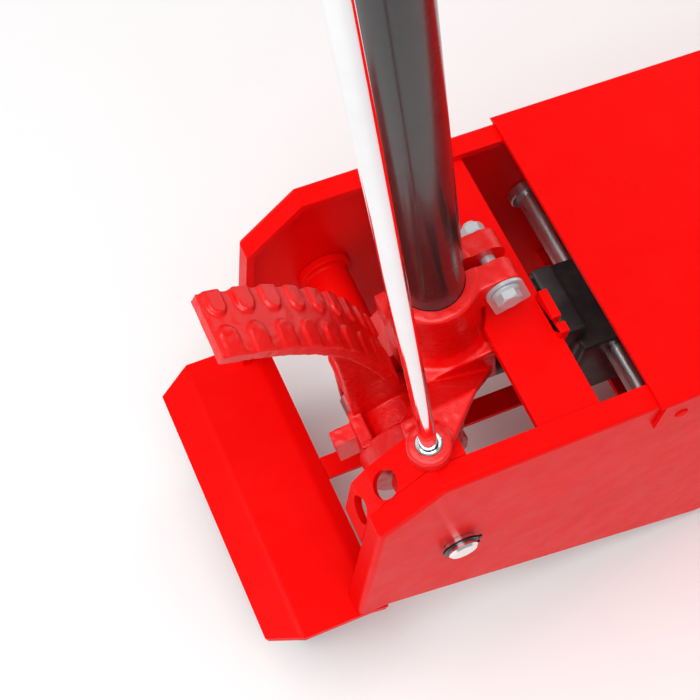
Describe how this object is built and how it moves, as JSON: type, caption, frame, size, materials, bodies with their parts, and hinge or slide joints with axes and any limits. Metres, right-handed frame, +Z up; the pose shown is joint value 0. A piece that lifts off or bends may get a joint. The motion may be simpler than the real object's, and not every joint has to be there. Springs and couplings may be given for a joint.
{
  "type": "trolley jack",
  "caption": "Long-chassis hydraulic trolley jack with a lockable pump handle, foot pedal, level-keeping saddle, front wheels and swivel casters.",
  "frame": {"origin": "centre of the whole jack's plan outline, on the floor", "axes": "+X forward to the saddle, +Y to the right-hand plate, +Z up"},
  "size_m": [1.281, 0.3646, 1.2969],
  "materials": {
    "red_paint": "glossy red powder coat",
    "cast_red": "glossy red paint over rough casting",
    "black_paint": "glossy black paint",
    "dark_iron": "dark cast iron",
    "chrome": "polished",
    "zinc": "bright zinc plate",
    "bright_steel": "turned steel",
    "black_steel": "black oxide spring steel",
    "wheel_steel": "black-painted cast wheel with a worn tread",
    "rubber": "moulded",
    "brass": "turned"
  },
  "bodies": {
    "chassis": {"side_plate_left": "red_paint", "side_plate_right": "red_paint", "lock_quadrant": "red_paint", "caster_plate": "red_paint", "centre_strut": "red_paint", "cross_plate": "red_paint", "top_cover": "red_paint", "cover_screw_left": "red_paint", "cover_screw_right": "red_paint", "front_tie_plate": "red_paint", "axle_spacer": "red_paint", "handle_axle": "chrome", "axle_circlip_left": "black_steel", "axle_circlip_right": "black_steel", "torsion_spring": "black_steel", "arm_shaft": "bright_steel", "tie_rod_anchor": "bright_steel", "front_axle": "bright_steel", "hydraulic_block": "dark_iron", "unit_pin": "bright_steel", "reservoir": "black_paint", "wheel_cap_left": "zinc", "wheel_cap_right": "zinc"},
    "handle": {"handle_socket": "cast_red", "clamp_bolt": "zinc", "clamp_nut": "zinc", "clamp_lock_tab": "zinc", "pump_roller_pin": "bright_steel", "handle_tube": "black_paint", "handle_crossbar": "black_paint", "grip_left": "rubber", "grip_right": "rubber", "lock_rod_guide": "black_paint", "lock_bush": "chrome"},
    "roller": {"pump_roller": "bright_steel"},
    "release_control": {"release_rod": "bright_steel", "release_knob": "rubber"},
    "release_spindle": {"release_valve": "brass"},
    "lock_control": {"lock_rod": "chrome", "lock_knob": "rubber"},
    "pedal": {"foot_pedal": "cast_red"},
    "pump": {"pump_plunger": "chrome"},
    "ram_group": {"ram": "chrome", "crosshead": "dark_iron"},
    "arm": {"lift_arm": "red_paint", "thrust_pin": "bright_steel", "saddle_pin": "bright_steel"},
    "leveller": {"tie_rod": "red_paint"},
    "saddle_carrier": {"saddle_bracket": "red_paint"},
    "saddle_top": {"saddle": "dark_iron", "saddle_pad": "rubber"},
    "wheel_left": {"front_wheel_left": "wheel_steel"},
    "wheel_right": {"front_wheel_right": "wheel_steel"},
    "caster_left": {"caster_fork_left": "red_paint", "caster_axle_left": "zinc"},
    "caster_right": {"caster_fork_right": "red_paint", "caster_axle_right": "zinc"},
    "caster_roll_left": {"caster_wheel_left": "wheel_steel"},
    "caster_roll_right": {"caster_wheel_right": "wheel_steel"}
  },
  "joints": [
    {"name": "handle_pivot", "type": "hinge", "parent": "chassis", "child": "handle", "pos_m": [-0.41954, 0, 0.216], "axis": [0, -1, 0], "range_deg": [0, 50]},
    {"name": "pedal_pivot", "type": "hinge", "parent": "handle", "child": "pedal", "pos_m": [-0.41954, 0, 0.216], "axis": [0, -1, 0], "range_deg": [0, 30], "stiffness_Nm_per_rad": 4, "springref_deg": -45.84},
    {"name": "roller_spin", "type": "hinge", "parent": "handle", "child": "roller", "pos_m": [-0.41954, 0.022, 0.156], "axis": [0, 1, 0], "continuous": true},
    {"name": "lock_slide", "type": "slide", "parent": "handle", "child": "lock_control", "axis": [-0.2164, 0, 0.9763], "range_m": [-0.02, 0]},
    {"name": "release_turn", "type": "hinge", "parent": "handle", "child": "release_control", "pos_m": [-0.37385, 0, 0.22613], "axis": [-0.2164, 0, 0.9763], "range_deg": [0, 180]},
    {"name": "valve_turn", "type": "hinge", "parent": "chassis", "child": "release_spindle", "pos_m": [-0.29954, -0.012, 0.226], "axis": [1, 0, 0], "range_deg": [0, 180]},
    {"name": "pump_slide", "type": "slide", "parent": "chassis", "child": "pump", "axis": [1, 0, 0], "range_m": [0, 0.046]},
    {"name": "arm_lift", "type": "hinge", "parent": "chassis", "child": "arm", "pos_m": [0.16046, 0, 0.282], "axis": [0, -1, 0], "range_deg": [0, 50]},
    {"name": "ram_slide", "type": "slide", "parent": "chassis", "child": "ram_group", "axis": [1, 0, 0], "range_m": [0, 0.066]},
    {"name": "tie_rod_swing", "type": "hinge", "parent": "chassis", "child": "leveller", "pos_m": [0.16046, -0.077, 0.237], "axis": [0, -1, 0], "range_deg": [0, 50]},
    {"name": "saddle_level", "type": "hinge", "parent": "arm", "child": "saddle_carrier", "pos_m": [0.56455, 0, 0.135], "axis": [0, -1, 0], "range_deg": [-50, 0]},
    {"name": "saddle_swivel", "type": "hinge", "parent": "saddle_carrier", "child": "saddle_top", "pos_m": [0.56455, 0, 0.18], "axis": [0, 0, 1], "continuous": true},
    {"name": "wheel_spin_left", "type": "hinge", "parent": "chassis", "child": "wheel_left", "pos_m": [0.50546, -0.151, 0.075], "axis": [0, 1, 0], "continuous": true},
    {"name": "wheel_spin_right", "type": "hinge", "parent": "chassis", "child": "wheel_right", "pos_m": [0.50546, 0.151, 0.075], "axis": [0, 1, 0], "continuous": true},
    {"name": "caster_swivel_left", "type": "hinge", "parent": "chassis", "child": "caster_left", "pos_m": [-0.50854, -0.085, 0.12], "axis": [0, 0, 1], "continuous": true},
    {"name": "caster_swivel_right", "type": "hinge", "parent": "chassis", "child": "caster_right", "pos_m": [-0.50854, 0.085, 0.12], "axis": [0, 0, 1], "continuous": true},
    {"name": "caster_spin_left", "type": "hinge", "parent": "caster_left", "child": "caster_roll_left", "pos_m": [-0.50854, -0.055, 0.042], "axis": [1, 0, 0], "continuous": true},
    {"name": "caster_spin_right", "type": "hinge", "parent": "caster_right", "child": "caster_roll_right", "pos_m": [-0.50854, 0.055, 0.042], "axis": [1, 0, 0], "continuous": true}
  ],
  "couplings": [
    {"joint": "pump_slide", "follows": "handle_pivot", "m_per_rad": 0.052669},
    {"joint": "valve_turn", "follows": "release_turn", "ratio": 1},
    {"joint": "ram_slide", "follows": "arm_lift", "m_per_rad": 0.075549},
    {"joint": "tie_rod_swing", "follows": "arm_lift", "ratio": 1},
    {"joint": "saddle_level", "follows": "arm_lift", "ratio": -1}
  ]
}
